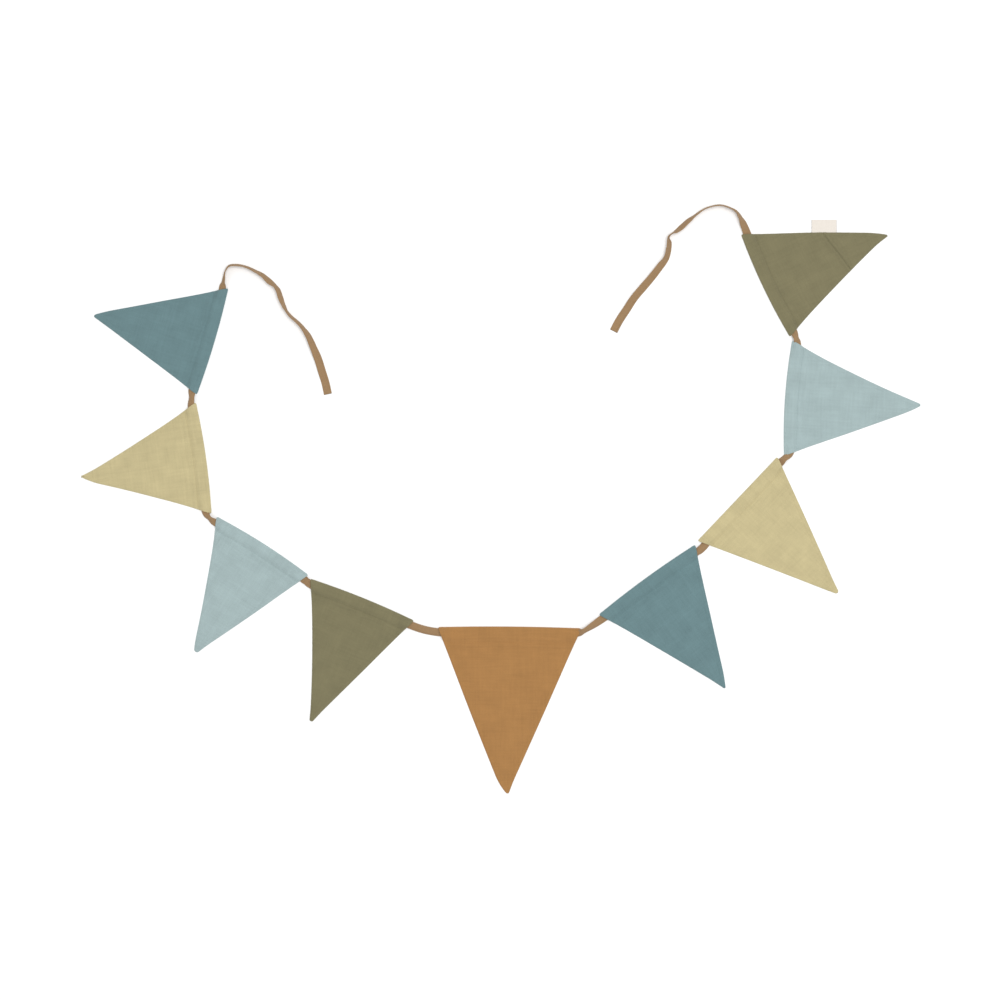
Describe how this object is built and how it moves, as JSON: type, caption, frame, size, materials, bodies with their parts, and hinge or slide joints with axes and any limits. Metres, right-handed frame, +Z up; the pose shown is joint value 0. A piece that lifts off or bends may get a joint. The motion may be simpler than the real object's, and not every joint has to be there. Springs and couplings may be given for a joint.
{
  "type": "fabric bunting",
  "caption": "String of triangular doubled cotton flags on a narrow fabric tape with a free tie at each end, laid out flat in a U.",
  "frame": {"origin": "on the surface that the bunting lies on, under the middle of the whole layout", "axes": "+Z up, out of the surface; +X across the open U from the first flag's side to the last flag's; the larger flag in the middle points along -Y"},
  "size_m": [1.0897, 0.7649, 0.0105],
  "materials": {
    "teal_cotton": "plain-weave cotton, dusty teal, matt, with faint slubs",
    "straw_cotton": "plain-weave cotton, straw yellow, matt, with faint slubs",
    "pale_blue_cotton": "plain-weave cotton, pale blue grey, matt, with faint slubs",
    "olive_cotton": "plain-weave cotton, olive grey, matt, with faint slubs",
    "camel_cotton": "plain-weave cotton, camel brown, matt, with faint slubs",
    "tape_cotton": "folded cotton tape, camel brown, matt, stitched along one edge",
    "label_cotton": "fine cream cotton tape, blank"
  },
  "bodies": {
    "root": {"flag_1_teal": "teal_cotton", "flag_2_straw": "straw_cotton", "flag_3_pale_blue": "pale_blue_cotton", "flag_4_olive": "olive_cotton", "flag_5_camel": "camel_cotton", "flag_6_teal": "teal_cotton", "flag_7_straw": "straw_cotton", "flag_8_pale_blue": "pale_blue_cotton", "flag_9_olive": "olive_cotton", "tape": "tape_cotton", "label": "label_cotton"}
  },
  "joints": []
}
